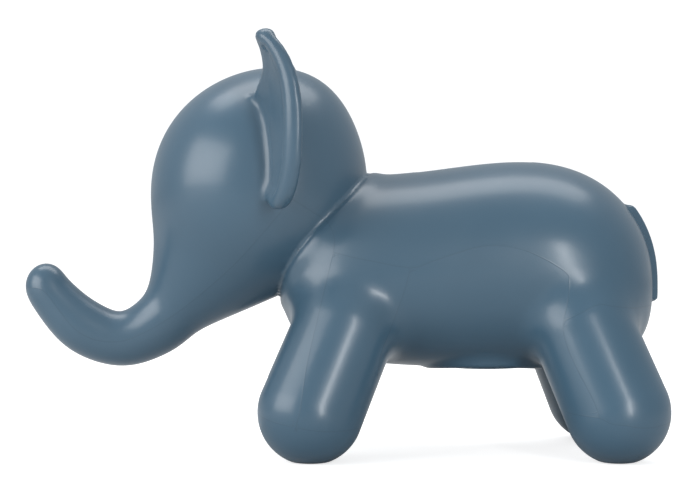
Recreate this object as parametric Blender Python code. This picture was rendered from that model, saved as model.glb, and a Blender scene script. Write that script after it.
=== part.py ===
"""Elephant coin bank: a hollow one-piece moulding with a key-turned plug in its belly.

The elephant stands on the floor, faces -X and is the same on both sides of the plane Y = 0.
The origin is on the floor, below the middle of its length. Lengths are given in millimetres
and turned into metres as each mesh is made.
"""

import math

import bmesh
import bpy
import numpy as np

MM = 0.001

# ---------------------------------------------------------------- driving sizes, in millimetres
WALL = 2.0                  # wall of the moulding
FIT_GAP = 0.35              # clearance between pieces that fit together

# Torso: a rounded barrel lying along X.
TORSO_FRONT_X = -23.0       # chest, inside the back of the head
TORSO_LENGTH = 128.1
TORSO_HEIGHT = 70.0
TORSO_WIDTH = 76.0
BELLY_CLEARANCE = 28.6      # belly above the floor
DEEPEST_FROM_RUMP = 45.1    # where the barrel is deepest, measured from the rump
BACK_SLOPE = 1.6            # how much the barrel thins towards the neck
BACK_SLOPE_RUN = 42.0
RUMP_DROP = 8.0             # how far the rump's tip hangs below the barrel's middle
CHEST_SQUARENESS = 3.0
RUMP_SQUARENESS = 2.6

# Head and trunk: one round body swept along a curve in the plane Y = 0.
HEAD_DIAMETER = 70.8
HEAD_X = -25.8
HEAD_Z = 94.3
TRUNK_ROOT_DIAMETER = 29.2
TRUNK_DIAMETER = 18.6
TRUNK_TIP_DIAMETER = 15.0
TRUNK_LOW_Z = 38.0          # middle of the trunk at its lowest
TRUNK_TIP_X = -100.2
TRUNK_TIP_Z = 56.1

# Legs: tapered round columns with round feet and small flat soles.
FOOT_DIAMETER = 34.4
FOOT_SPACING = 68.0         # between the middles of the left and right feet
SOLE_CUT = 0.9              # how much of the round foot the flat sole takes off
HIP_DIAMETER = 36.8
HIP_SPACING = 46.0          # the legs lean in and merge with the barrel's sides
HIP_ABOVE_BELLY = 26.4
FRONT_FOOT_X = -9.6
FRONT_HIP_X = 5.5
REAR_FOOT_FROM_RUMP = 14.7
REAR_HIP_FROM_RUMP = 30.7

# Ears: cupped blades with a thick rolled rim, standing out from the sides of the head.
EAR_ROOT_DEPTH = 5.4        # root of the ear, inside the side of the head
EAR_REACH = 26.0            # from the root to the widest point of the rim
EAR_HEIGHT = 57.6
EAR_DROP = 11.6             # bottom of the ear below the middle of the head
EAR_THICKNESS = 3.0
EAR_RIM_THICKNESS = 5.4
EAR_FROM_HEAD = 1.8         # blade at its root, behind the middle of the head
EAR_SWEEP = 10.5            # how far back the rim lies
EAR_TIP_HOOK = 4.8          # how far forward the upper tip curls

# Tail: a flat tab lying against the rump.
TAIL_WIDTH = 9.0
TAIL_THICKNESS = 2.2
TAIL_BOTTOM = -0.18         # from the barrel's middle, as shares of its height
TAIL_TOP = 0.284

# Coin slot along the middle of the back.
SLOT_LENGTH = 38.0
SLOT_WIDTH = 4.6
SLOT_X = 45.0

# Coin outlet in the belly, and the plug that closes it.
OUTLET_X = 48.4
OUTLET_DIAMETER = 27.2
SEAT_PROUD = 0.2            # the seat stands this far below the belly
SEAT_RIM = 1.8              # wall of the collar around the seat
LIP_THICKNESS = 2.5         # ledge that the latch bar closes over
COLLAR_ABOVE_BAR = 2.0
FLANGE_OVERLAP = 1.9
FLANGE_THICKNESS = 1.6
CAP_FLOOR = 1.0             # plastic above the rotor's head
CAP_WALL = 1.8
HUB_DIAMETER = 14.0
LUG_OVERLAP = 0.5           # how far the lugs run into the flange
BAR_OVERLAP = 1.2           # how far the bar passes over the lip at each end
BAR_WIDTH = 6.6
BAR_THICKNESS = 1.5
BAR_CLEARANCE = 0.65        # between the lip and the bar
NOTCH_CLEARANCE = 0.5
SHANK_DIAMETER = 8.2
SQUARE_SIDE = 4.0
ROTOR_HEAD_DIAMETER = 12.0
ROTOR_HEAD_THICKNESS = 1.2
ROTOR_CHAMFER = 0.3
KEYWAY_LENGTH = 8.0
KEYWAY_WIDTH = 1.6
KEYWAY_DEPTH = 3.4
WASHER_THICKNESS = 0.3
WASHER_WAVE = 0.3
WASHER_WAVES = 3
WASHER_CLEARANCE = 0.5      # above and below the washer
CLIP_DIAMETER = 9.0
CLIP_THICKNESS = 0.6
CLIP_DISH = 0.5
PIN_DIAMETER = 3.6
PIN_ABOVE_CLIP = 0.75
CAP_CHAMFER = 0.4

# Fineness of the round shapes: sides of each ring.
OUTER_SIDES = 26
INNER_SIDES = 18
OUTER_LEG_SIDES = 20
INNER_LEG_SIDES = 12
SMALL_SIDES = 32

# ---------------------------------------------------------------- places worked out from them
RUMP_X = TORSO_FRONT_X + TORSO_LENGTH
DEEPEST_X = RUMP_X - DEEPEST_FROM_RUMP
TORSO_Z = BELLY_CLEARANCE + TORSO_HEIGHT / 2
FOOT_CENTRE_Z = FOOT_DIAMETER / 2 - SOLE_CUT
HIP_Z = BELLY_CLEARANCE + HIP_ABOVE_BELLY
REAR_FOOT_X = RUMP_X - REAR_FOOT_FROM_RUMP
REAR_HIP_X = RUMP_X - REAR_HIP_FROM_RUMP
EAR_ROOT_Y = HEAD_DIAMETER / 2 - EAR_ROOT_DEPTH
EAR_BOTTOM_Z = HEAD_Z - EAR_DROP
EAR_X = HEAD_X + EAR_FROM_HEAD
SEAT_Z = BELLY_CLEARANCE - SEAT_PROUD
FLANGE_RADIUS = OUTLET_DIAMETER / 2 + FLANGE_OVERLAP
RECESS_RADIUS = FLANGE_RADIUS + FIT_GAP
RECESS_TOP = FLANGE_THICKNESS - SEAT_PROUD + FIT_GAP
LIP_TOP = RECESS_TOP + LIP_THICKNESS
COLLAR_RADIUS = RECESS_RADIUS + SEAT_RIM
BAR_RADIUS = OUTLET_DIAMETER / 2 + BAR_OVERLAP
BAR_LOW = LIP_TOP + BAR_CLEARANCE
BAR_TOP = BAR_LOW + BAR_THICKNESS
COLLAR_TOP = BAR_TOP + COLLAR_ABOVE_BAR
CAP_FACE = -SEAT_PROUD
HEAD_RECESS_TOP = CAP_FACE + ROTOR_HEAD_THICKNESS + FIT_GAP
HUB_TOP = BAR_LOW - WASHER_THICKNESS - 2 * WASHER_WAVE - 2 * WASHER_CLEARANCE
CLIP_LOW = BAR_TOP + FIT_GAP
PIN_TOP = CLIP_LOW + CLIP_THICKNESS + CLIP_DISH + PIN_ABOVE_CLIP


# ---------------------------------------------------------------- making meshes
def finish(name, colour, roughness, metallic=0.0):
    """A Principled material."""
    material = bpy.data.materials.new(name)
    material.use_nodes = True
    shader = material.node_tree.nodes["Principled BSDF"]
    shader.inputs["Base Color"].default_value = (*colour, 1.0)
    shader.inputs["Roughness"].default_value = roughness
    shader.inputs["Metallic"].default_value = metallic
    return material


def add_object(name, mesh_parts, material=None, parent=None):
    """Make one object from a bmesh whose points are in millimetres."""
    bmesh.ops.remove_doubles(mesh_parts, verts=mesh_parts.verts, dist=0.001)
    bmesh.ops.recalc_face_normals(mesh_parts, faces=mesh_parts.faces)
    bmesh.ops.scale(mesh_parts, vec=(MM, MM, MM), verts=mesh_parts.verts)
    mesh = bpy.data.meshes.new(name)
    mesh_parts.to_mesh(mesh)
    mesh_parts.free()
    mesh.shade_smooth()
    mesh.set_sharp_from_angle(angle=math.radians(35))
    thing = bpy.data.objects.new(name, mesh)
    bpy.context.scene.collection.objects.link(thing)
    if material is not None:
        mesh.materials.append(material)
    if parent is not None:
        thing.parent = parent
        thing.matrix_parent_inverse = parent.matrix_basis.inverted()
    return thing


def skin(rings, closed=True):
    """A bmesh through rings of points. Each ring closes on itself. The first and last rings
    are filled when closed is set, and are joined to each other otherwise."""
    parts = bmesh.new()
    rows = [[parts.verts.new(point) for point in ring] for ring in rings]
    count = len(rows)
    sides = len(rows[0])
    last = count - 1 if closed else count
    for i in range(last):
        for j in range(sides):
            k = (j + 1) % sides
            parts.faces.new((rows[i][j], rows[i][k], rows[(i + 1) % count][k], rows[(i + 1) % count][j]))
    if closed:
        parts.faces.new(rows[0])
        parts.faces.new(rows[-1])
    return parts


def turned(profile, centre_x, base_z, solid=False, sides=SMALL_SIDES):
    """A solid of revolution about a vertical axis, from a (radius, height) outline. The
    outline closes on itself round a bore, or, for a solid, is filled at both ends."""
    angles = np.linspace(0, 2 * math.pi, sides, endpoint=False)
    rings = []
    for radius, height in profile:
        x = centre_x + radius * np.cos(angles)
        y = radius * np.sin(angles)
        rings.append(np.stack([x, y, np.full(sides, base_z + height)], axis=1))
    return skin(rings, closed=solid)


def disc(radius, low, high, centre_x, base_z, sides=SMALL_SIDES):
    """A plain cylinder between two heights."""
    angles = np.linspace(0, 2 * math.pi, sides, endpoint=False)
    ring = np.stack([centre_x + radius * np.cos(angles), radius * np.sin(angles), np.zeros(sides)], axis=1)
    return skin([ring + [0, 0, base_z + low], ring + [0, 0, base_z + high]])


def upright(x, y, low, high):
    """A prism with upright sides over an outline, between two heights."""
    ring = np.stack([x, y, np.zeros(len(x))], axis=1)
    return skin([ring + [0, 0, low], ring + [0, 0, high]])


def slot_shape(low, high, sides=8):
    """The coin slot: a bar with half-round ends, between two heights above the barrel's middle."""
    arc = np.linspace(-math.pi / 2, math.pi / 2, sides + 1)
    x = (SLOT_LENGTH - SLOT_WIDTH) / 2 + SLOT_WIDTH / 2 * np.cos(arc)
    y = SLOT_WIDTH / 2 * np.sin(arc)
    x = SLOT_X + np.concatenate([x, -x])
    return upright(x, np.concatenate([y, -y]), TORSO_Z + low, TORSO_Z + high)


def bar_shape(extra, low, high, sides=8):
    """A flat bar whose ends are arcs about its middle, between two heights above the seat.
    extra is added all round."""
    radius = BAR_RADIUS + extra
    half_angle = math.asin((BAR_WIDTH / 2 + extra) / radius)
    arc = np.linspace(-half_angle, half_angle, sides + 1)
    x = radius * np.cos(arc)
    y = radius * np.sin(arc)
    x = OUTLET_X + np.concatenate([x, -x])
    return upright(x, np.concatenate([y, -y]), SEAT_Z + low, SEAT_Z + high)


def block(low_corner, high_corner):
    """A box between two corners."""
    (x0, y0, z0), (x1, y1, z1) = low_corner, high_corner
    return upright(np.array([x0, x1, x1, x0]), np.array([y0, y0, y1, y1]), z0, z1)


def square_block(length, width, low, high):
    """A box centred on the plug's axis, between two heights above the seat."""
    x, y = length / 2, width / 2
    return block((OUTLET_X - x, -y, SEAT_Z + low), (OUTLET_X + x, y, SEAT_Z + high))


def hidden(thing):
    """Mark an object that only cuts or joins."""
    thing.hide_render = True
    thing.display_type = "WIRE"
    return thing


def combine(target, other, operation):
    """Add a Boolean modifier."""
    modifier = target.modifiers.new(f"{operation.lower()}_{other.name}", "BOOLEAN")
    modifier.operation = operation
    modifier.solver = "EXACT"
    modifier.object = other


def smooth_curve(points, steps):
    """A Catmull-Rom curve through the points, with the given steps between each pair."""
    points = np.array(points, dtype=float)
    ends = np.vstack([2 * points[0] - points[1], points, 2 * points[-1] - points[-2]])
    t = np.linspace(0, 1, steps, endpoint=False)[:, None]
    runs = []
    for i in range(1, len(ends) - 2):
        a, b, c, d = ends[i - 1:i + 3]
        cubic = -a + 3 * b - 3 * c + d
        square = 2 * a - 5 * b + 4 * c - d
        runs.append(0.5 * (2 * b + (c - a) * t + square * t ** 2 + cubic * t ** 3))
    runs.append(ends[-2][None])
    return np.vstack(runs)


# ---------------------------------------------------------------- shapes of the moulding
def torso_rings(inset, rings, sides):
    """Rings of the barrel. Its section is an ellipse that shrinks to both ends as a
    superellipse. inset moves the whole skin inwards."""
    around = np.linspace(0, 2 * math.pi, sides, endpoint=False)
    result = []
    for step in np.linspace(-1, 1, rings):
        t = math.sin(step * math.radians(88.5))
        front = t < 0
        end_x = TORSO_FRONT_X + inset if front else RUMP_X - inset
        power = CHEST_SQUARENESS if front else RUMP_SQUARENESS
        x = DEEPEST_X + abs(t) * (end_x - DEEPEST_X)
        s = min(max((DEEPEST_X - x) / BACK_SLOPE_RUN, 0.0), 1.0)
        thinner = BACK_SLOPE * s * s * (3 - 2 * s)
        scale = (1 - abs(t) ** power) ** (1 / power)
        middle_z = TORSO_Z - thinner - (0 if front else RUMP_DROP * t * t)
        half_height = (TORSO_HEIGHT / 2 - thinner - inset) * scale
        half_width = (TORSO_WIDTH / 2 - inset) * scale
        y = half_width * np.cos(around)
        z = middle_z + half_height * np.sin(around)
        result.append(np.stack([np.full(sides, x), y, z], axis=1))
    return result


def swept_rings(path, inset, sides, dome_steps):
    """Rings of a round body along a path of (x, y, z, radius) rows, with round ends."""
    places = path[:, :3]
    radii = path[:, 3] - inset
    along = np.gradient(places, axis=0)
    along /= np.linalg.norm(along, axis=1)[:, None]
    polar = np.linspace(3, 90, dome_steps, endpoint=False)
    stations = [(places[0], along[0], -radii[0] * math.cos(math.radians(a)),
                 radii[0] * math.sin(math.radians(a))) for a in polar]
    stations += [(place, way, 0.0, radius) for place, way, radius in zip(places, along, radii)]
    stations += [(places[-1], along[-1], radii[-1] * math.cos(math.radians(a)),
                  radii[-1] * math.sin(math.radians(a))) for a in polar[::-1]]
    around = np.linspace(0, 2 * math.pi, sides, endpoint=False)[:, None]
    result = []
    for place, way, shift, radius in stations:
        side = np.cross(way, (0.0, 1.0, 0.0))
        side /= np.linalg.norm(side)
        other = np.cross(way, side)
        result.append(place + shift * way + radius * (np.cos(around) * other + np.sin(around) * side))
    return result


def trunk_path(steps):
    """Middle line and radius from the head to the tip of the trunk."""
    stations = [
        (HEAD_X, 0, HEAD_Z, HEAD_DIAMETER / 2),
        (HEAD_X - 7.2, 0, HEAD_Z - 10.8, HEAD_DIAMETER / 2 - 1.2),
        (HEAD_X - 16.0, 0, HEAD_Z - 24.9, (HEAD_DIAMETER + TRUNK_ROOT_DIAMETER) / 4 + 1.8),
        (HEAD_X - 27.2, 0, HEAD_Z - 42.1, TRUNK_ROOT_DIAMETER / 2),
        (HEAD_X - 38.7, 0, TRUNK_LOW_Z + 4.3, TRUNK_DIAMETER / 2 + 1.2),
        (HEAD_X - 50.7, 0, TRUNK_LOW_Z, TRUNK_DIAMETER / 2),
        (HEAD_X - 62.2, 0, TRUNK_LOW_Z + 3.8, TRUNK_DIAMETER / 2 - 0.2),
        (TRUNK_TIP_X + 4.2, 0, TRUNK_TIP_Z - 6.6, TRUNK_TIP_DIAMETER / 2 + 0.6),
        (TRUNK_TIP_X, 0, TRUNK_TIP_Z, TRUNK_TIP_DIAMETER / 2),
    ]
    return smooth_curve(stations, steps)


def leg_path(hip_x, foot_x, side):
    """Middle line and radius of a leg, from hip to foot."""
    hip = (hip_x, side * HIP_SPACING / 2, HIP_Z, HIP_DIAMETER / 2)
    foot = (foot_x, side * FOOT_SPACING / 2, FOOT_CENTRE_Z, FOOT_DIAMETER / 2)
    return np.linspace(hip, foot, 3)


def ear_rings(side):
    """A profile carried round the ear's outline: a thin blade inside, a thick rolled rim.
    The outline is seen from the front; the blade's place in X is a curved surface over it."""
    # Across from the root and up from the ear's bottom, as shares of reach and height.
    outline = smooth_curve([
        (-0.31, 0.61), (0.12, 0.77), (0.46, 0.93), (0.60, 1.00), (0.74, 0.975),
        (0.90, 0.80), (1.00, 0.56), (0.93, 0.24), (0.66, 0.05), (0.35, 0.00),
        (0.04, 0.06), (-0.23, 0.16)], 2)
    outline[:, 0] = EAR_ROOT_Y + EAR_REACH * outline[:, 0]
    outline[:, 1] = EAR_BOTTOM_Z + EAR_HEIGHT * outline[:, 1]
    middle = outline.mean(axis=0)
    blade = EAR_THICKNESS / 2
    rim = EAR_RIM_THICKNESS / 2
    profile = [(0.02, -blade), (0.50, -blade), (0.75, -blade), (0.88, -rim), (1.0, 0.0),
               (0.88, rim), (0.75, blade), (0.50, blade), (0.02, blade)]
    result = []
    for share, offset in profile:
        points = middle + share * (outline - middle)
        y, z = points[:, 0], points[:, 1]
        out = np.clip((y - EAR_ROOT_Y) / EAR_REACH, 0, None)
        up = np.clip((z - EAR_BOTTOM_Z) / EAR_HEIGHT * 2 - 1, -1, 1)
        x = EAR_X + EAR_SWEEP * out ** 1.3 - EAR_TIP_HOOK * np.clip(up, 0, 1) ** 3 - 1.5 * up + offset
        result.append(np.stack([x, side * y, z], axis=1))
    return result


def tail_rings():
    """The tab: rectangles with soft corners that follow the rump's middle line."""
    corner = TAIL_THICKNESS * 0.35
    half = TAIL_WIDTH / 2
    deep = -WALL * 0.6
    out = TAIL_THICKNESS
    section = [(deep, -half), (out - corner, -half), (out, -half + corner),
               (out, half - corner), (out - corner, half), (deep, half)]
    result = []
    low, high = (TORSO_Z + share * TORSO_HEIGHT for share in (TAIL_BOTTOM, TAIL_TOP))
    for z in np.linspace(low, high, 9):
        x, slope = rump_line(z)
        normal = np.array([1.0, slope]) / math.hypot(1.0, slope)
        result.append([(x + d * normal[0], y, z + d * normal[1]) for d, y in section])
    return result


def rump_line(z):
    """Where the rump's middle line is at a height, and how much it leans back there."""
    t = np.linspace(0.5, 0.999, 400)
    scale = (1 - t ** RUMP_SQUARENESS) ** (1 / RUMP_SQUARENESS)
    x = DEEPEST_X + t * DEEPEST_FROM_RUMP
    upper = TORSO_Z - RUMP_DROP * t * t + TORSO_HEIGHT / 2 * scale
    lower = TORSO_Z - RUMP_DROP * t * t - TORSO_HEIGHT / 2 * scale
    xs = np.concatenate([x, x[::-1]])
    zs = np.concatenate([upper, lower[::-1]])
    here = np.interp(-z, -zs, xs)
    above = np.interp(-(z + 0.5), -zs, xs)
    below = np.interp(-(z - 0.5), -zs, xs)
    return here, below - above


# ---------------------------------------------------------------- pieces
def make_shell(material):
    """The moulding: outer lofts joined, the same lofts less the wall taken out, then the
    collar round the coin outlet added and the openings cut."""
    shell = add_object("elephant_shell", skin(torso_rings(0.0, 20, OUTER_SIDES)), material)
    cavity = hidden(add_object("cavity", skin(torso_rings(WALL, 14, INNER_SIDES))))
    legs = [("front_left", FRONT_HIP_X, FRONT_FOOT_X, -1), ("front_right", FRONT_HIP_X, FRONT_FOOT_X, 1),
            ("rear_left", REAR_HIP_X, REAR_FOOT_X, -1), ("rear_right", REAR_HIP_X, REAR_FOOT_X, 1)]
    fine = (shell, 0.0, "outer", 3, OUTER_SIDES, OUTER_LEG_SIDES, 5)
    coarse = (cavity, WALL, "inner", 2, INNER_SIDES, INNER_LEG_SIDES, 4)
    for target, inset, label, path_steps, sides, leg_sides, dome_steps in (fine, coarse):
        rings = swept_rings(trunk_path(path_steps), inset, sides, dome_steps)
        combine(target, hidden(add_object(f"{label}_head", skin(rings))), "UNION")
        for name, hip_x, foot_x, side in legs:
            rings = swept_rings(leg_path(hip_x, foot_x, side), inset, leg_sides, dome_steps)
            combine(target, hidden(add_object(f"{label}_{name}_leg", skin(rings))), "UNION")
        reach = TORSO_LENGTH + TORSO_WIDTH
        floor = block((-reach, -reach, -reach), (reach, reach, inset))
        combine(target, hidden(add_object(f"{label}_floor", floor)), "DIFFERENCE")
    for name, side in (("ear_left", -1), ("ear_right", 1)):
        combine(shell, hidden(add_object(name, skin(ear_rings(side)))), "UNION")
    combine(shell, hidden(add_object("tail", skin(tail_rings()))), "UNION")
    combine(shell, cavity, "DIFFERENCE")

    collar = disc(COLLAR_RADIUS, 0, COLLAR_TOP, OUTLET_X, SEAT_Z)
    combine(shell, hidden(add_object("collar", collar)), "UNION")
    hole = OUTLET_DIAMETER / 2
    outlet = [(RECESS_RADIUS, -1), (RECESS_RADIUS, RECESS_TOP), (hole, RECESS_TOP), (hole, LIP_TOP),
              (RECESS_RADIUS, LIP_TOP), (RECESS_RADIUS, COLLAR_TOP + 1)]
    outlet = turned(outlet, OUTLET_X, SEAT_Z, solid=True)
    combine(shell, hidden(add_object("outlet_cut", outlet)), "DIFFERENCE")
    notch = bar_shape(NOTCH_CLEARANCE, RECESS_TOP - 1, LIP_TOP + 1)
    combine(shell, hidden(add_object("notch_cut", notch)), "DIFFERENCE")
    slot = slot_shape(0, TORSO_HEIGHT)
    combine(shell, hidden(add_object("slot_cut", slot)), "DIFFERENCE")
    return shell


def make_cap(material, parent):
    """The plug: a cup with a flange below, a hub for the rotor and two lugs that sit in the
    outlet's notches and stop it from turning."""
    barrel = OUTLET_DIAMETER / 2 - FIT_GAP
    bore = SHANK_DIAMETER / 2 + FIT_GAP
    counterbore = ROTOR_HEAD_DIAMETER / 2 + FIT_GAP
    flange_top = CAP_FACE + FLANGE_THICKNESS
    floor_top = HEAD_RECESS_TOP + CAP_FLOOR
    profile = [
        (counterbore, CAP_FACE), (FLANGE_RADIUS - CAP_CHAMFER, CAP_FACE),
        (FLANGE_RADIUS, CAP_FACE + CAP_CHAMFER), (FLANGE_RADIUS, flange_top),
        (barrel, flange_top), (barrel, LIP_TOP),
        (barrel - CAP_WALL, LIP_TOP), (barrel - CAP_WALL, floor_top),
        (HUB_DIAMETER / 2, floor_top), (HUB_DIAMETER / 2, HUB_TOP),
        (bore, HUB_TOP), (bore, HEAD_RECESS_TOP), (counterbore, HEAD_RECESS_TOP)]
    cap = add_object("closure_cap", turned(profile, OUTLET_X, SEAT_Z), material, parent)
    lugs = hidden(add_object("lugs", bar_shape(0, flange_top - LUG_OVERLAP, LIP_TOP - LUG_OVERLAP)))
    inside = disc(barrel - CAP_WALL / 2, -BAR_TOP, BAR_TOP, OUTLET_X, SEAT_Z)
    combine(lugs, hidden(add_object("lugs_inside", inside)), "DIFFERENCE")
    combine(cap, lugs, "UNION")
    return cap


def make_rotor(material, parent):
    """Turning centre: a round head with a keyway, a shank through the hub, a square that
    drives the bar, and a thin pin for the clip."""
    head = ROTOR_HEAD_DIAMETER / 2
    shank = SHANK_DIAMETER / 2
    pin = PIN_DIAMETER / 2
    head_top = CAP_FACE + ROTOR_HEAD_THICKNESS
    shank_top = BAR_LOW - FIT_GAP
    profile = [
        (head - ROTOR_CHAMFER, CAP_FACE), (head, CAP_FACE + ROTOR_CHAMFER), (head, head_top),
        (shank, head_top), (shank, shank_top), (pin, shank_top), (pin, PIN_TOP)]
    rotor = add_object("lock_rotor", turned(profile, OUTLET_X, SEAT_Z, solid=True), material, parent)
    square = square_block(SQUARE_SIDE, SQUARE_SIDE, shank_top - FIT_GAP, BAR_TOP + FIT_GAP / 2)
    combine(rotor, hidden(add_object("rotor_square", square)), "UNION")
    deep = square_block(shank, KEYWAY_WIDTH, CAP_FACE - 1, CAP_FACE + KEYWAY_DEPTH)
    combine(rotor, hidden(add_object("keyway_deep", deep)), "DIFFERENCE")
    keyway = square_block(KEYWAY_LENGTH, KEYWAY_WIDTH, CAP_FACE - 1, head_top)
    combine(rotor, hidden(add_object("keyway", keyway)), "DIFFERENCE")
    return rotor


def make_bar(material, parent):
    """Latch bar: a flat strip with arc ends and a square hole for the rotor."""
    bar = add_object("lock_bar", bar_shape(0, BAR_LOW, BAR_TOP), material, parent)
    side = SQUARE_SIDE + 2 * FIT_GAP
    hole = square_block(side, side, 0, COLLAR_TOP)
    combine(bar, hidden(add_object("bar_hole", hole)), "DIFFERENCE")
    return bar


def make_washer(material, parent):
    """Wave washer round the shank, between the hub and the bar."""
    inner = SHANK_DIAMETER / 2 + FIT_GAP
    outer = HUB_DIAMETER / 2 - FIT_GAP
    middle_z = SEAT_Z + (HUB_TOP + BAR_LOW) / 2
    angles = np.linspace(0, 2 * math.pi, 36, endpoint=False)
    wave = WASHER_WAVE * np.cos(WASHER_WAVES * angles)
    section = [(inner, -0.5), (outer, -0.5), (outer, 0.5), (inner, 0.5)]
    rings = []
    for radius, side in section:
        z = middle_z + wave + side * WASHER_THICKNESS
        rings.append(np.stack([OUTLET_X + radius * np.cos(angles), radius * np.sin(angles), z], axis=1))
    return add_object("spring_washer", skin(rings, closed=False), material, parent)


def make_clip(material, parent):
    """Push-on clip above the bar: a thin dished ring."""
    inner = PIN_DIAMETER / 2 + FIT_GAP
    outer = CLIP_DIAMETER / 2
    profile = [(inner, CLIP_LOW + CLIP_DISH), (outer, CLIP_LOW), (outer, CLIP_LOW + CLIP_THICKNESS),
               (inner, CLIP_LOW + CLIP_DISH + CLIP_THICKNESS)]
    return add_object("retaining_clip", turned(profile, OUTLET_X, SEAT_Z), material, parent)


def build():
    for thing in list(bpy.data.objects):
        bpy.data.objects.remove(thing, do_unlink=True)
    body_blue = finish("body_plastic", (0.075, 0.135, 0.190), 0.34)
    plug_grey = finish("plug_plastic", (0.050, 0.090, 0.130), 0.45)
    brass = finish("rotor_brass", (0.72, 0.55, 0.27), 0.35, 1.0)
    steel = finish("plated_steel", (0.56, 0.57, 0.58), 0.30, 1.0)
    make_shell(body_blue)
    axis = bpy.data.objects.new("plug_axis", None)
    axis.location = (OUTLET_X * MM, 0, SEAT_Z * MM)
    bpy.context.scene.collection.objects.link(axis)
    make_cap(plug_grey, axis)
    make_washer(steel, axis)
    make_rotor(brass, axis)
    make_bar(steel, axis)
    make_clip(steel, axis)


build()
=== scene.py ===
"""Elephant coin bank: the finished look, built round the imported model.

Shapes are worked out in millimetres and made into metres as each mesh is built. The
elephant stands on the floor, faces -X and is alike on both sides of the plane Y = 0.
"""

import math

import bpy
import numpy as np
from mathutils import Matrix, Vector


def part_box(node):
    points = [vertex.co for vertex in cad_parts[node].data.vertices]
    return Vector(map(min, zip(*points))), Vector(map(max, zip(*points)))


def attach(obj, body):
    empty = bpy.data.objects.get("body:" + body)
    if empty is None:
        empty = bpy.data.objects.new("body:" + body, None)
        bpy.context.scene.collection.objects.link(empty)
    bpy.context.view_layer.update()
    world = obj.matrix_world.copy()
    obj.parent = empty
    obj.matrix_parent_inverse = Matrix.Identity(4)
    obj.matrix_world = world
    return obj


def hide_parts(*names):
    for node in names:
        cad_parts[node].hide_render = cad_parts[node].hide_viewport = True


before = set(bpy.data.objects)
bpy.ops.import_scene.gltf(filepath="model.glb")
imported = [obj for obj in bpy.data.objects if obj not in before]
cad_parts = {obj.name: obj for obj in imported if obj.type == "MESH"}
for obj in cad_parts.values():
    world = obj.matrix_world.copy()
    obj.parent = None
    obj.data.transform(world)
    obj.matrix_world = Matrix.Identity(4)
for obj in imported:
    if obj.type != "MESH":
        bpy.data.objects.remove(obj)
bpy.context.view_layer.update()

# ---------------------------------------------------------------- the moulded elephant
# Body, head, trunk, ears, legs and tail are one hollow moulding in slate blue plastic with a
# satin skin. Its parts flow into each other, with a tight crease where the head meets the
# neck. The coin slot is in the back, and the round coin outlet is in a flat seat in the belly.

MM = 0.001
shell_low, shell_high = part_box("elephant_shell")
cap_low, cap_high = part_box("closure_cap")
outlet_x = (cap_low.x + cap_high.x) / 2 / MM
flange_radius = (cap_high.x - cap_low.x) / 2 / MM
fit_gap, rim_wall, wall = 0.35, 1.8, 2.0
# The plug's face stands a little below its seat, and both lie a little above the packed
# model's, level with the belly's sides.
face_proud, seat_lift = 0.2, 0.6
seat_z = cap_low.z / MM + face_proud + seat_lift
recess_radius = flange_radius + fit_gap
collar_radius = recess_radius + rim_wall
grid_step = 1.15


def smooth_min(a, b, width):
    """The lower of two fields, with a rounded join where they differ by less than width."""
    share = np.clip(0.5 + 0.5 * (b - a) / width, 0, 1)
    return b + (a - b) * share - width * share * (1 - share)


def smooth_max(a, b, width):
    """The higher of two fields, with a rounded join."""
    return -smooth_min(-a, -b, width)


def smooth_curve(points, steps):
    """Catmull-Rom curve: each stretch is the cubic whose slope at a point runs between the
    points on either side of it."""
    points = np.array(points, dtype=float)
    ends = np.vstack([2 * points[0] - points[1], points, 2 * points[-1] - points[-2]])
    t = np.linspace(0, 1, steps, endpoint=False)[None, :, None]
    a, b, c, d = (ends[i:len(ends) - 3 + i, None] for i in range(4))
    rows = b + 0.5 * t * (c - a + t * (2 * a - 5 * b + 4 * c - d + t * (3 * b - 3 * c + d - a)))
    return np.vstack([rows.reshape(-1, points.shape[1]), ends[-2]])


# Barrel of the body: ends at the chest and the rump, deepest in between.
chest_x, deepest_x, rump_x = -20.0, 60.0, 105.0
barrel_z, barrel_depth, barrel_width = 63.4, 34.8, 38.0

# Skull: an egg whose long axis leans forward and down. Centre x, z and half-sizes along its
# axis, across it and along Y.
skull_x, skull_z = -28.6, 96.3
skull_along, skull_across, skull_side = 35.2, 26.4, 28.0
skull_lean = math.radians(53)

# Middle line and radius from the middle of the head to the tip of the trunk: x, z, radius.
trunk_line = smooth_curve([
    (-27.6, 90.5, 36.2), (-41.0, 69.2, 22.1), (-54.7, 51.1, 11.3), (-63.7, 42.1, 9.3),
    (-75.5, 37.8, 8.4), (-88.7, 42.8, 8.5), (-99.8, 54.4, 6.6), (-100.5, 58.4, 4.3)], 8)

# Coin slot in the back: its middle, half the straight run, and the radius of its ends.
slot_x, slot_half_length, slot_radius = 45.0, 16.7, 2.3

# Legs: hip and foot, each x, y, z, radius.
front_leg = ((1.0, 26.6, 43.0, 16.8), (-10.1, 34.0, 16.4, 17.3))
rear_leg = ((79.3, 26.4, 43.0, 16.8), (90.2, 34.0, 16.4, 17.2))

# Outline of an ear from the front: y, z, from the root's top round the rim to its bottom.
ear_outline = smooth_curve([
    (22, 117.5), (31, 124.5), (38, 131.5), (42.5, 137.4), (46.3, 140.0), (50, 137.6), (53, 130),
    (55.3, 119), (55.6, 106), (54.1, 95), (50.5, 86.6), (45, 82.8), (38.5, 84.2), (32, 89), (22, 93)], 5)


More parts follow.
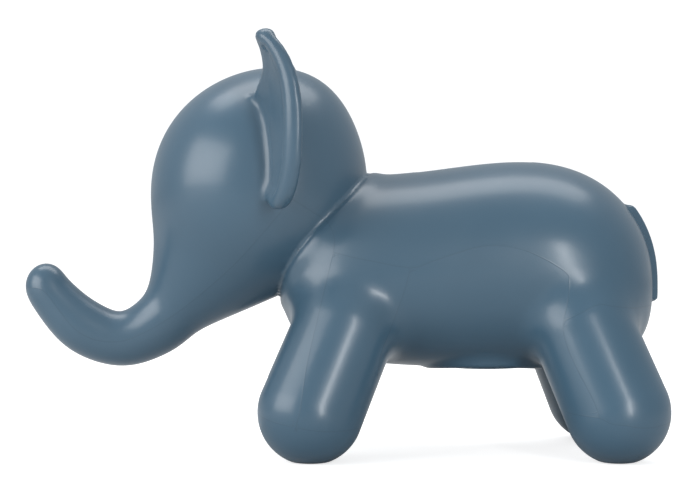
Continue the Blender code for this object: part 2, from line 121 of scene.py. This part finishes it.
def barrel_field(x, y, z):
    """Distance to the barrel, nearly. Its section is an ellipse, and it closes towards both
    ends as a superellipse; the back slopes down to the neck and the rump's tip hangs low."""
    front = x < deepest_x
    run = np.where(front, deepest_x - chest_x, rump_x - deepest_x)
    power = np.where(front, 3.8, 2.6)
    t = (x - deepest_x) / run
    slope = np.clip((deepest_x - x) / 42, 0, 1)
    thinner = 1.7 * slope ** 2 * (3 - 2 * slope)
    droop = np.where(front, 0, 8.0)
    middle = barrel_z - thinner - droop * t ** 2
    depth = barrel_depth - thinner
    side = np.sqrt((y / barrel_width) ** 2 + ((z - middle) / depth) ** 2) + 1e-9
    end = np.abs(t) + 1e-9
    size = (end ** power + side ** power) ** (1 / power)
    pull = (side / size) ** (power - 1) / side
    gy = pull * y / barrel_width ** 2
    gz = pull * (z - middle) / depth ** 2
    gx = (end / size) ** (power - 1) / run * np.sign(t) + gz * 2 * droop * t / run
    return (size - 1) / np.maximum(np.sqrt(gx ** 2 + gy ** 2 + gz ** 2), 1e-4)


def skull_field(x, y, z):
    """Distance to the skull's ellipsoid, nearly."""
    along = (x - skull_x) * math.cos(skull_lean) + (z - skull_z) * math.sin(skull_lean)
    across = (z - skull_z) * math.cos(skull_lean) - (x - skull_x) * math.sin(skull_lean)
    size = np.sqrt((along / skull_along) ** 2 + (across / skull_across) ** 2 + (y / skull_side) ** 2) + 1e-9
    pull = np.sqrt((along / skull_along ** 2) ** 2 + (across / skull_across ** 2) ** 2
                   + (y / skull_side ** 2) ** 2) / size
    return (size - 1) / np.maximum(pull, 1e-3)


def string_field(line, x, y, z, blend=0.6):
    """Distance to balls strung closely along a line in the plane Y = 0, blended into one
    skin: the soft minimum, -b ln(sum of exp(-d / b)), of the distances d to the balls."""
    total = 0
    for ball_x, ball_z, radius in line:
        gap = np.sqrt((x - ball_x) ** 2 + (z - ball_z) ** 2 + y ** 2) - radius
        total = total + np.exp(-np.clip(gap, -60, 60) / blend)
    return -blend * np.log(total)


def leg_field(leg, x, y, z):
    """Distance to a tapered column with ball ends."""
    hip, foot = np.array(leg)
    way = foot[:3] - hip[:3]
    length = np.linalg.norm(way)
    t = ((x - hip[0]) * way[0] + (y - hip[1]) * way[1] + (z - hip[2]) * way[2]) / length ** 2
    t = np.clip(t, 0, 1)
    gap = (x - hip[0] - t * way[0]) ** 2 + (y - hip[1] - t * way[1]) ** 2 + (z - hip[2] - t * way[2]) ** 2
    taper = (foot[3] - hip[3]) / length
    return (np.sqrt(gap) - hip[3] - t * (foot[3] - hip[3])) / math.sqrt(1 + taper ** 2)


def outline_field(outline, y, z):
    """Signed distance to a closed outline: distance to the nearest side, negative inside,
    which is where an odd number of sides is crossed."""
    shape = np.broadcast(y, z).shape
    nearest = np.full(shape, 1e12)
    sign = np.ones(shape)
    for start, stop in zip(outline, np.roll(outline, -1, axis=0)):
        way = stop - start
        t = np.clip(((y - start[0]) * way[0] + (z - start[1]) * way[1]) / (way @ way + 1e-12), 0, 1)
        nearest = np.minimum(nearest, (y - start[0] - t * way[0]) ** 2 + (z - start[1] - t * way[1]) ** 2)
        spans = (start[1] <= z) != (stop[1] <= z)
        crossing = start[0] + (z - start[1]) * way[0] / (way[1] if way[1] else 1e-12)
        sign = np.where(spans & (y < crossing), -sign, sign)
    return sign * np.sqrt(nearest)


def ear_field(x, y, z):
    """Distance to an ear: a thin cupped blade, with a thick rim round its outline. The
    blade's place in X sweeps back from the head to the rim and curls forward at the tip."""
    edge = outline_field(ear_outline, y, z)
    out = np.clip((y - 30) / 25, 0, 1.1) ** 1.1
    upper = 8.4 * np.clip((z - 102) / 38, 0, 0.95) ** 4
    flare = 4.2 * np.clip((z - 104) / 16, 0, 1) ** 2 * np.clip((37 - y) / 13, 0, 1) ** 1.5
    lower = 1.6 * np.clip((102 - z) / 20, 0, 1.1) ** 2
    across = (x + 23.2 - 8.6 * out + upper + lower + flare) * 0.94
    thick = 1.5 + 1.1 * np.clip((y - 30) / 13, 0, 1) * (1 - 0.25 * np.clip((z - 116) / 10, 0, 1))
    blade = smooth_max(np.abs(across) - 1.4, edge + 1.2, 1.2)
    rim = np.sqrt((edge + thick) ** 2 + across ** 2) - thick
    tip = np.sqrt((x + 23.6) ** 2 + (y - 46.3) ** 2 + (z - 137.2) ** 2) - 2.7
    return smooth_min(smooth_min(blade, rim, 2.2), tip, 1.6)


def tail_field(barrel, x, y, z):
    """Distance to the tab: the skin of the rump raised, between two sides and two ends."""
    raised = smooth_max(barrel - 2.2, np.abs(y) - 4.5, 1.4)
    ends = np.abs(z - 67.3) - 16.3
    return np.where(x > 85, smooth_max(raised, ends, 1.4), 50.0)


def shell_field(x, y, z):
    """Negative inside the plastic. The legs are joined with rounded joins, the head with a
    tight one; the soles, the slot, the outlet and the hollow are then cut."""
    y = np.abs(y)
    barrel = barrel_field(x, y, z)
    body = smooth_min(barrel, leg_field(front_leg, x, y, z), 8.0)
    body = smooth_min(body, leg_field(rear_leg, x, y, z), 7.0)
    from_outlet = np.sqrt((x - outlet_x) ** 2 + y ** 2)
    boss = np.maximum(smooth_max(from_outlet - collar_radius - 1.2, seat_z + 0.45 - z, 1.0), z - barrel_z)
    body = smooth_min(body, boss, 4.0)
    body = smooth_min(body, tail_field(barrel, x, y, z), 0.8)
    head = smooth_min(skull_field(x, y, z), string_field(trunk_line, x, y, z), 10.0)
    body = body - 1.1 * np.exp(-((head - 2.0) / 3.4) ** 2)
    head = smooth_min(head, ear_field(x, y, z), 3.0)
    body = smooth_min(body, head, 1.0)
    body = smooth_max(body, -z, 0.6)
    along = np.maximum(np.abs(x - slot_x) - slot_half_length, 0)
    slot = np.sqrt(along ** 2 + y ** 2) - slot_radius
    body = smooth_max(body, -np.maximum(slot, barrel_z - z), 1.0)
    body = np.maximum(body, -np.maximum(from_outlet - collar_radius + 0.7, z - barrel_z))
    hollow = np.maximum(np.maximum(np.abs(x - 45.5) - 22.0, y - 18.0), np.abs(z - 65.0) - 32.0)
    return smooth_max(body, -smooth_max(barrel + wall, hollow, 3.0), 1.0)


def cell_surface(field, low, high, step):
    """Points and quads where a field changes sign. Each grid cell that the surface crosses
    gets one point, the mean of the crossings on its edges, and each crossed grid edge gets
    the quad between the four cells round it. The points are then evened out between their
    neighbours, three times, and moved onto the surface along the field's slope."""
    axes = [np.arange(a, b + step, step) for a, b in zip(low, high)]
    values = field(axes[0][:, None, None], axes[1][None, :, None], axes[2][None, None, :])
    inside = values < 0
    shape = np.array(inside.shape)
    corners = [np.array((i, j, k)) for i in (0, 1) for j in (0, 1) for k in (0, 1)]
    filled = sum(inside[tuple(slice(c[k], shape[k] - 1 + c[k]) for k in range(3))].astype(int)
                 for c in corners)
    cells = np.argwhere((filled > 0) & (filled < 8))
    number = np.full(filled.shape, -1)
    number[tuple(cells.T)] = np.arange(len(cells))
    total = np.zeros((len(cells), 3))
    count = np.zeros((len(cells), 1))
    for first in corners:
        for axis in np.flatnonzero(first == 0):
            second = first + np.eye(3, dtype=int)[axis]
            a = values[tuple((cells + first).T)]
            b = values[tuple((cells + second).T)]
            crossed = ((a < 0) != (b < 0))[:, None]
            share = (a / np.where(a == b, 1, a - b))[:, None]
            total += np.where(crossed, first + share * (second - first), 0)
            count += crossed
    points = np.array(low) + (cells + total / count) * step
    quads = []
    for axis in range(3):
        one, two = [k for k in range(3) if k != axis]
        head = np.take(inside, np.arange(shape[axis] - 1), axis)
        tail = np.take(inside, np.arange(1, shape[axis]), axis)
        edges = np.argwhere(head != tail)
        unit = np.eye(3, dtype=int)
        ring = [edges - unit[one] - unit[two], edges - unit[two], edges, edges - unit[one]]
        quad = np.stack([number[tuple(k.T)] for k in ring], axis=1)
        outward = head[tuple(edges.T)] ^ (axis == 1)
        quad[~outward] = quad[~outward][:, ::-1]
        quads.append(quad)
    quads = np.vstack(quads)
    for turn in range(5):
        if turn < 3:
            middles = points[quads].mean(axis=1)
            shared = np.bincount(quads.ravel(), minlength=len(points))
            settled = [np.bincount(quads.ravel(), np.repeat(middles[:, k], 4), len(points))
                       for k in range(3)]
            points = 0.5 * points + 0.5 * np.stack(settled, axis=1) / shared[:, None]
        value, slope = field_slope(field, points, 0.05 * step)
        points -= slope * np.clip(value / np.sum(slope ** 2, axis=1), -0.4 * step, 0.4 * step)[:, None]
    return points, quads


def field_slope(field, points, reach):
    """The field and its slope at each point, from differences reach wide on each side."""
    slope = [field(*(points + shift).T) - field(*(points - shift).T) for shift in np.eye(3) * reach]
    return field(*points.T), np.stack(slope, axis=1) / (2 * reach)


def field_object(name, field, low, high, step):
    """A smooth-shaded mesh object of a field's surface, and its points in millimetres."""
    points, quads = cell_surface(field, low, high, step)
    mesh = bpy.data.meshes.new(name)
    mesh.from_pydata((points * MM).astype(np.float32), [], quads)
    mesh.shade_smooth()
    piece = bpy.data.objects.new(name, mesh)
    bpy.context.scene.collection.objects.link(piece)
    return piece, points


low = [c / MM - 3 for c in shell_low]
high = [c / MM + 3 for c in shell_high]
elephant, points = field_object("elephant_skin", shell_field, low, high, grid_step)

# Parting lines of the mould, seen from the side: x, z. The mould's side pieces draw out along Y.
parting_lines = [smooth_curve(line, 4) for line in (
    [(-107, 55.6), (-101, 55), (-96, 49), (-90, 42), (-84, 38.5), (-77, 37.5), (-70.5, 38.8), (-60.5, 44),
     (-50, 51.5), (-35, 64.5), (-22, 78.8), (-19.5, 82)],
    [(-16.5, 86), (-13.5, 84.2), (-5.4, 78.9), (-3, 75.4), (-2.3, 71), (-4, 63), (-6.8, 51), (-11, 33),
     (-13, 19), (-14.5, 13)],
    [(-27, 15.8), (-20.5, 14.3), (-14.5, 13.2), (-5, 11.8), (8, 11.6)],
    [(-2.4, 68.3), (2.8, 67), (7.7, 66.1), (22.3, 63.6), (29.3, 65.6), (37, 68.2), (43, 70), (48, 70.8),
     (53, 70.6), (59.4, 69.3), (66, 66.4), (71.4, 63.2), (73.8, 61)],
    [(22.4, 63.4), (20.8, 57.2), (18, 49), (15.7, 42.7), (13, 36), (12, 29.8)],
    [(73.8, 61), (73.7, 57), (73, 51.8), (71.6, 46.7), (72, 41), (75, 33), (80, 23), (82.8, 16)],
    [(74, 16.8), (82.5, 16), (86, 14.4), (90.5, 13.9), (98.5, 12.8), (110, 14)],
    [(71.8, 46.6), (77.4, 49.3), (83, 51.8), (88, 51.2), (98, 50), (106, 50)])]


def line_distances(lines, x, z):
    """For each point, the distance to the nearest stretch of any line, and its signed
    distance to that stretch's own straight line."""
    nearest = np.full(x.shape, 1e12)
    side = np.zeros(x.shape)
    for line in lines:
        for start, stop in zip(line[:-1], line[1:]):
            length = np.linalg.norm(stop - start)
            way = (stop - start) / length
            reach = np.clip((x - start[0]) * way[0] + (z - start[1]) * way[1], 0, length)
            gap = (x - start[0] - reach * way[0]) ** 2 + (z - start[1] - reach * way[1]) ** 2
            closer = gap < nearest
            nearest = np.where(closer, gap, nearest)
            side = np.where(closer, (x - start[0]) * way[1] - (z - start[1]) * way[0], side)
    return np.sqrt(nearest), side


def point_value(piece, name, values):
    """Store one number per point of a mesh, for its material to read."""
    piece.data.attributes.new(name, "FLOAT", "POINT").data.foreach_set("value", values.astype(np.float32))


near_line, line_side = line_distances(parting_lines, points[:, 0], points[:, 2])
point_value(elephant, "near_line", near_line)
point_value(elephant, "line_side", line_side)


def plastic_material(name, colour, roughness, grain=1.0):
    """Moulded plastic: a Principled shader whose colour wanders slightly, whose gloss is
    uneven and whose skin has a very fine grain."""
    material = bpy.data.materials.new(name)
    material.use_nodes = True
    nodes, links = material.node_tree.nodes, material.node_tree.links
    shader = nodes["Principled BSDF"]
    place = nodes.new("ShaderNodeTexCoord").outputs["Object"]

    def noise(scale, detail):
        node = nodes.new("ShaderNodeTexNoise")
        node.inputs["Scale"].default_value = scale
        node.inputs["Detail"].default_value = detail
        links.new(place, node.inputs["Vector"])
        return node.outputs["Fac"]

    def spread(value, low, high):
        node = nodes.new("ShaderNodeMapRange")
        node.inputs["From Min"].default_value = 0.3
        node.inputs["From Max"].default_value = 0.7
        node.inputs["To Min"].default_value = low
        node.inputs["To Max"].default_value = high
        links.new(value, node.inputs["Value"])
        return node.outputs["Result"]

    tint = nodes.new("ShaderNodeHueSaturation")
    tint.inputs["Color"].default_value = (*colour, 1)
    links.new(spread(noise(22, 3), 0.96, 1.04), tint.inputs["Value"])
    links.new(spread(noise(9, 2), 0.94, 1.06), tint.inputs["Saturation"])
    links.new(tint.outputs["Color"], shader.inputs["Base Color"])
    links.new(spread(noise(60, 4), roughness - 0.03, roughness + 0.03), shader.inputs["Roughness"])
    bump = nodes.new("ShaderNodeBump")
    bump.inputs["Strength"].default_value = 0.12 * grain
    bump.inputs["Distance"].default_value = 0.00012
    links.new(noise(1600, 2), bump.inputs["Height"])
    links.new(bump.outputs["Normal"], shader.inputs["Normal"])
    return material


def add_parting_ridges_and_shade(material):
    """Draw the mould's fine witness lines into the plastic, where the stored distance to a line is small:
    a low ridge in the bump, and painted shade, the colour darkened along each line for the seam's shade."""
    nodes, links = material.node_tree.nodes, material.node_tree.links
    side = nodes.new("ShaderNodeAttribute")
    side.attribute_name = "line_side"
    near = nodes.new("ShaderNodeAttribute")
    near.attribute_name = "near_line"

    def sums(operation, a, b):
        node = nodes.new("ShaderNodeMath")
        node.operation = operation
        for socket, value in zip(node.inputs, (a, b)):
            if isinstance(value, (int, float)):
                socket.default_value = value
            else:
                links.new(value, socket)
        return node.outputs[0]

    across = sums("DIVIDE", sums("ABSOLUTE", side.outputs["Fac"], 0), 0.28)
    ridge = sums("MAXIMUM", sums("SUBTRACT", 1.0, across), 0.0)
    ridge = sums("MULTIPLY", ridge, sums("LESS_THAN", near.outputs["Fac"], 1.2))
    lift = nodes.new("ShaderNodeBump")
    lift.inputs["Strength"].default_value = 0.5
    lift.inputs["Distance"].default_value = 0.00006
    links.new(ridge, lift.inputs["Height"])
    shader = nodes["Principled BSDF"]
    grain = shader.inputs["Normal"].links[0].from_node
    links.new(lift.outputs["Normal"], grain.inputs["Normal"])
    colour = shader.inputs["Base Color"].links[0].from_socket
    # Painted shade: the colour is multiplied darker along each witness line, standing in for the shade in
    # the fine seam.
    darker = nodes.new("ShaderNodeMix")
    darker.data_type = "RGBA"
    darker.blend_type = "MULTIPLY"
    links.new(sums("MULTIPLY", ridge, 0.16), darker.inputs["Factor"])
    links.new(colour, darker.inputs[6])
    darker.inputs[7].default_value = (0.2, 0.2, 0.2, 1)
    links.new(darker.outputs[2], shader.inputs["Base Color"])


body_plastic = plastic_material("satin_slate_blue", (0.041, 0.088, 0.132), 0.33)
body_plastic.node_tree.nodes["Principled BSDF"].inputs["Coat Weight"].default_value = 0.15
body_plastic.node_tree.nodes["Principled BSDF"].inputs["Coat Roughness"].default_value = 0.18
add_parting_ridges_and_shade(body_plastic)
elephant.data.materials.append(body_plastic)
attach(elephant, "elephant")
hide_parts("elephant_shell")

# ---------------------------------------------------------------- collar round the coin outlet
# The rim of the outlet is part of the moulding, in the same plastic: a plain ring that the
# plug's flange sinks into, and above it a ledge with two notches that let the latch pass.

outlet_radius = recess_radius - 2.25
lip_low, lip_top, collar_top = seat_z + 1.75, seat_z + 4.25, seat_z + 8.4
latch_radius, latch_half = outlet_radius + 1.2, 3.3


def band(x, low, high):
    """Negative between two values."""
    return np.abs(x - (low + high) / 2) - (high - low) / 2


def latch_field(x, y, extra):
    """Distance in plan to the latch bar's outline: a strip with arc ends. extra widens it."""
    from_axis = np.sqrt((x - outlet_x) ** 2 + y ** 2)
    return smooth_max(from_axis - latch_radius, np.abs(y) - latch_half, 0.5) - extra


def collar_field(x, y, z):
    """A thick ring, less the recess, the outlet with its notches, and the room above."""
    from_axis = np.sqrt((x - outlet_x) ** 2 + y ** 2)
    ring = smooth_max(from_axis - collar_radius, band(z, seat_z, collar_top), 0.8)
    outlet = smooth_min(from_axis - outlet_radius, latch_field(x, y, 0.5), 0.3)
    ring = smooth_max(ring, -outlet, 0.3)
    ring = smooth_max(ring, -np.maximum(from_axis - recess_radius, z - lip_low), 0.4)
    return smooth_max(ring, -np.maximum(from_axis - recess_radius, lip_top - z), 0.4)


def around_outlet(radius, low, high):
    """Corners of the space within a radius of the plug's axis, between two heights."""
    return (outlet_x - radius, -radius, low - 0.6), (outlet_x + radius, radius, high + 0.6)


collar, points = field_object("outlet_collar", collar_field, *around_outlet(18.5, seat_z, collar_top), 0.33)
for name in ("near_line", "line_side"):
    point_value(collar, name, np.full(len(points), 100.0))
collar.data.materials.append(body_plastic)
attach(collar, "elephant")

# ---------------------------------------------------------------- plug
# Round cup with a flange, moulded in a slightly darker, duller plastic. The flange lies
# flush in the collar; its face has a shallow ring and a seat for the lock. Two lugs stand
# in the collar's notches and keep it from turning.

hub_top, hub_radius, shank_radius, rotor_radius = seat_z + 3.0, 7.0, 4.1, 6.0
plug_face = seat_z - face_proud
plug_radius = outlet_radius - fit_gap


def plug_field(x, y, z):
    """Flange, cup and lugs joined, then the room in the cup, the bore, the lock's seat and
    the ring in the face cut away."""
    from_axis = np.sqrt((x - outlet_x) ** 2 + y ** 2)
    flange = smooth_max(from_axis - flange_radius, band(z, plug_face, plug_face + 1.6), 0.7)
    lugs = smooth_max(latch_field(x, y, 0), band(z, plug_face + 1, lip_top - 0.5), 0.4)
    cup = smooth_max(from_axis - plug_radius, band(z, plug_face + 0.6, lip_top), 0.5)
    solid = smooth_min(smooth_min(flange, cup, 0.3), lugs, 0.3)
    room = smooth_max(from_axis - plug_radius + 1.8, plug_face + 2.55 - z, 0.5)
    solid = smooth_max(solid, -room, 0.4)
    hub = smooth_max(from_axis - hub_radius, band(z, plug_face + 1, hub_top), 0.3)
    solid = smooth_min(solid, hub, 0.3)
    solid = smooth_max(solid, -(from_axis - shank_radius - fit_gap), 0.2)
    seat = smooth_max(from_axis - rotor_radius - fit_gap, z - plug_face - 1.55, 0.2)
    solid = smooth_max(solid, -seat, 0.25)
    ring = smooth_max(band(from_axis, 9.2, 12.4), z - plug_face - 0.45, 0.4)
    return smooth_max(solid, -ring, 0.35)


plug, _ = field_object("plug_moulding", plug_field, *around_outlet(16.2, plug_face, lip_top), 0.28)
plug_plastic = plastic_material("satin_dark_slate", (0.050, 0.090, 0.130), 0.42)
plug.data.materials.append(plug_plastic)
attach(plug, "plug")
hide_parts("closure_cap")

# ---------------------------------------------------------------- lock: turning centre
# Turned brass: a low round head with a keyway, a shank through the plug's hub, a square
# that drives the latch and a pin that carries the clip.

latch_low, latch_top, pin_top = seat_z + 4.9, seat_z + 6.4, seat_z + 8.6
square_half, keyway_half = 2.0, 0.8


def rotor_field(x, y, z):
    """Head, shank, square and pin joined, less the keyway, which is deep in the middle."""
    x = x - outlet_x
    from_axis = np.sqrt(x ** 2 + y ** 2)
    rotor = smooth_max(from_axis - rotor_radius, band(z, plug_face, plug_face + 1.2), 0.35)
    shank = smooth_max(from_axis - shank_radius, band(z, plug_face + 0.4, latch_low - fit_gap), 0.2)
    square = smooth_max(np.abs(x) - square_half, np.abs(y) - square_half, 0.3)
    square = smooth_max(square, band(z, latch_low - 1, latch_top + 0.17), 0.2)
    pin = smooth_max(from_axis - 1.8, band(z, latch_low, pin_top), 0.4)
    rotor = smooth_min(smooth_min(rotor, shank, 0.15), smooth_min(square, pin, 0.15), 0.15)
    blade = smooth_max(np.abs(y) - keyway_half, smooth_max(np.abs(x) - 4, z - plug_face - 0.9, 0.3), 0.2)
    middle = smooth_max(np.abs(y) - keyway_half, smooth_max(np.abs(x) - 2.05, z - plug_face - 3.4, 0.3), 0.2)
    return smooth_max(rotor, -np.minimum(blade, middle), 0.15)


def metal_material(name, colour, roughness, turned):
    """Metal with fine marks from its making: rings about the plug's axis where it was
    turned, straight streaks along X otherwise, and a faint unevenness of gloss."""
    material = bpy.data.materials.new(name)
    material.use_nodes = True
    nodes, links = material.node_tree.nodes, material.node_tree.links
    shader = nodes["Principled BSDF"]
    shader.inputs["Metallic"].default_value = 1.0
    place = nodes.new("ShaderNodeTexCoord").outputs["Object"]
    shift = nodes.new("ShaderNodeMapping")
    shift.inputs["Location"].default_value = (-outlet_x * MM, 0, 0)
    links.new(place, shift.inputs["Vector"])
    marks = nodes.new("ShaderNodeTexNoise")
    marks.inputs["Scale"].default_value = 3000
    marks.inputs["Detail"].default_value = 3
    if turned:
        flat = nodes.new("ShaderNodeVectorMath")
        flat.operation = "MULTIPLY"
        flat.inputs[1].default_value = (1, 1, 0)
        links.new(shift.outputs["Vector"], flat.inputs[0])
        radius = nodes.new("ShaderNodeVectorMath")
        radius.operation = "LENGTH"
        links.new(flat.outputs["Vector"], radius.inputs[0])
        links.new(radius.outputs["Value"], marks.inputs["Vector"])
    else:
        streak = nodes.new("ShaderNodeMapping")
        streak.inputs["Scale"].default_value = (0.04, 1, 1)
        links.new(shift.outputs["Vector"], streak.inputs["Vector"])
        links.new(streak.outputs["Vector"], marks.inputs["Vector"])
    cloud = nodes.new("ShaderNodeTexNoise")
    cloud.inputs["Scale"].default_value = 220
    links.new(place, cloud.inputs["Vector"])
    gloss = nodes.new("ShaderNodeMapRange")
    gloss.inputs["To Min"].default_value = roughness - 0.08
    gloss.inputs["To Max"].default_value = roughness + 0.12
    links.new(cloud.outputs["Fac"], gloss.inputs["Value"])
    links.new(gloss.outputs["Result"], shader.inputs["Roughness"])
    shade = nodes.new("ShaderNodeHueSaturation")
    shade.inputs["Color"].default_value = (*colour, 1)
    bright = nodes.new("ShaderNodeMapRange")
    bright.inputs["To Min"].default_value = 0.82
    bright.inputs["To Max"].default_value = 1.12
    links.new(marks.outputs["Fac"], bright.inputs["Value"])
    links.new(bright.outputs["Result"], shade.inputs["Value"])
    links.new(shade.outputs["Color"], shader.inputs["Base Color"])
    bump = nodes.new("ShaderNodeBump")
    bump.inputs["Strength"].default_value = 0.25
    bump.inputs["Distance"].default_value = 0.00002
    links.new(marks.outputs["Fac"], bump.inputs["Height"])
    links.new(bump.outputs["Normal"], shader.inputs["Normal"])
    return material


rotor, _ = field_object("rotor_brass_part", rotor_field, *around_outlet(6.6, plug_face, pin_top), 0.14)
rotor.data.materials.append(metal_material("turned_brass", (0.72, 0.53, 0.25), 0.32, True))
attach(rotor, "lock")
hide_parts("lock_rotor")

# ---------------------------------------------------------------- lock: latch bar
# Stamped from zinc-plated steel strip, with arc ends, slightly rolled edges and a square
# hole that fits over the turning centre's square.


def bar_field(x, y, z):
    """The strip between its two faces, less the square hole."""
    strip = smooth_max(latch_field(x, y, 0), band(z, latch_low, latch_top), 0.35)
    hole_half = square_half + fit_gap
    hole = smooth_max(np.abs(x - outlet_x) - hole_half, np.abs(y) - hole_half, 0.4)
    return smooth_max(strip, -hole, 0.2)


bar_low, bar_high = around_outlet(15.4, latch_low, latch_top)
bar_low, bar_high = (bar_low[0], -4, bar_low[2]), (bar_high[0], 4, bar_high[2])
bar, _ = field_object("latch_strip", bar_field, bar_low, bar_high, 0.19)
steel = metal_material("zinc_plated_steel", (0.56, 0.57, 0.58), 0.30, False)
bar.data.materials.append(steel)
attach(bar, "lock")
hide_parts("lock_bar")

# ---------------------------------------------------------------- lock: wave washer
# Thin plated spring steel, bent into three waves, loose on the shank between the hub and
# the latch bar.

washer_steel = metal_material("spring_steel", (0.50, 0.51, 0.53), 0.26, True)


def washer_field(x, y, z):
    """A flat ring whose height rises and falls three times in one turn."""
    x = x - outlet_x
    from_axis = np.sqrt(x ** 2 + y ** 2)
    height = (hub_top + latch_low) / 2 + 0.3 * np.cos(3 * np.arctan2(y, x))
    return smooth_max(np.abs(z - height) - 0.15, band(from_axis, 4.45, 6.65), 0.12)


washer, _ = field_object("wave_ring", washer_field, *around_outlet(7.0, hub_top, latch_low), 0.1)
washer.data.materials.append(washer_steel)
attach(washer, "plug")
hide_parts("spring_washer")

# ---------------------------------------------------------------- lock: push-on clip
# Dished ring of plated spring steel. Six slits from its bore leave teeth that grip the pin.


def clip_field(x, y, z):
    """A ring that rises towards its bore, less the slits."""
    x = x - outlet_x
    from_axis = np.sqrt(x ** 2 + y ** 2)
    rise = 0.5 * np.clip((4.5 - from_axis) / 2.35, 0, 1)
    plate = smooth_max(np.abs(z - latch_top - 0.65 - rise) - 0.29, band(from_axis, 2.15, 4.5), 0.2)
    turn = np.mod(np.arctan2(y, x), math.pi / 3) - math.pi / 6
    slit = smooth_max(np.abs(from_axis * np.sin(turn)) - 0.2, from_axis - 3.4, 0.2)
    return smooth_max(plate, -slit, 0.12)


clip, _ = field_object("toothed_clip", clip_field, *around_outlet(5.0, latch_top, pin_top), 0.1)
clip.data.materials.append(washer_steel)
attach(clip, "lock")
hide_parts("retaining_clip")

# ---------------------------------------------------------------- floor, light and camera
# A pale floor in a white studio, with three soft lights: a long one overhead, a narrow
# upright strip on the right and a broad panel on the left, both on the viewer's side.

floor_mesh = bpy.data.meshes.new("pale_floor")
floor_mesh.from_pydata([(-4, -4, 0), (4, -4, 0), (4, 4, 0), (-4, 4, 0)], [], [(0, 1, 2, 3)])
floor = bpy.data.objects.new("pale_floor", floor_mesh)
bpy.context.scene.collection.objects.link(floor)
floor_paint = bpy.data.materials.new("pale_floor_paint")
floor_paint.use_nodes = True
floor_nodes = floor_paint.node_tree.nodes
floor_shader = floor_nodes["Principled BSDF"]
floor_shader.inputs["Base Color"].default_value = (0.62, 0.62, 0.62, 1)
floor_shader.inputs["Roughness"].default_value = 0.8
floor_shader.inputs["Emission Color"].default_value = (1, 1, 1, 1)
floor_seen = floor_nodes.new("ShaderNodeLightPath")
lift = floor_nodes.new("ShaderNodeMath")
lift.operation = "MULTIPLY"
lift.inputs[1].default_value = 0.72
floor_paint.node_tree.links.new(floor_seen.outputs["Is Camera Ray"], lift.inputs[0])
floor_paint.node_tree.links.new(lift.outputs[0], floor_shader.inputs["Emission Strength"])
floor_mesh.materials.append(floor_paint)

world = bpy.data.worlds.new("studio")
world.use_nodes = True
world_nodes, world_links = world.node_tree.nodes, world.node_tree.links
seen = world_nodes.new("ShaderNodeLightPath")
glow = world_nodes.new("ShaderNodeMix")
glow.inputs[2].default_value = 0.60
glow.inputs[3].default_value = 1.1
world_links.new(seen.outputs["Is Camera Ray"], glow.inputs["Factor"])
world_links.new(glow.outputs[0], world_nodes["Background"].inputs["Strength"])
world_nodes["Background"].inputs["Color"].default_value = (0.96, 0.98, 1, 1)
bpy.context.scene.world = world


def soft_light(name, turn, rise, distance, size, power):
    """A rectangular area light facing the elephant's middle, at an angle round from the
    viewer's side and an angle above the floor."""
    light = bpy.data.lights.new(name, "AREA")
    light.shape = "RECTANGLE"
    light.size, light.size_y = size
    light.energy = power
    lamp = bpy.data.objects.new(name, light)
    turn, rise = math.radians(turn), math.radians(rise)
    flat = distance * math.cos(rise)
    lamp.location = (flat * math.sin(turn), -flat * math.cos(turn), 0.07 + distance * math.sin(rise))
    lamp.rotation_euler = (math.pi / 2 - rise, 0, turn)
    bpy.context.scene.collection.objects.link(lamp)


soft_light("overhead", 180, 74, 0.9, (1.2, 0.42), 5.6)
soft_light("right_strip", 24, 10, 1.0, (0.13, 0.66), 4.6)
soft_light("left_panel", -60, 20, 1.0, (0.84, 0.66), 7.6)

camera_data = bpy.data.cameras.new("camera")
camera_data.sensor_width = 36.0
camera_data.lens = 114.8914
camera = bpy.data.objects.new("camera", camera_data)
camera.location = (0.0028, -0.760, 0.092)
camera.rotation_euler = (math.radians(90 - 1.68), 0, 0)
bpy.context.scene.collection.objects.link(camera)
bpy.context.scene.camera = camera
bpy.context.scene.view_settings.view_transform = "Standard"
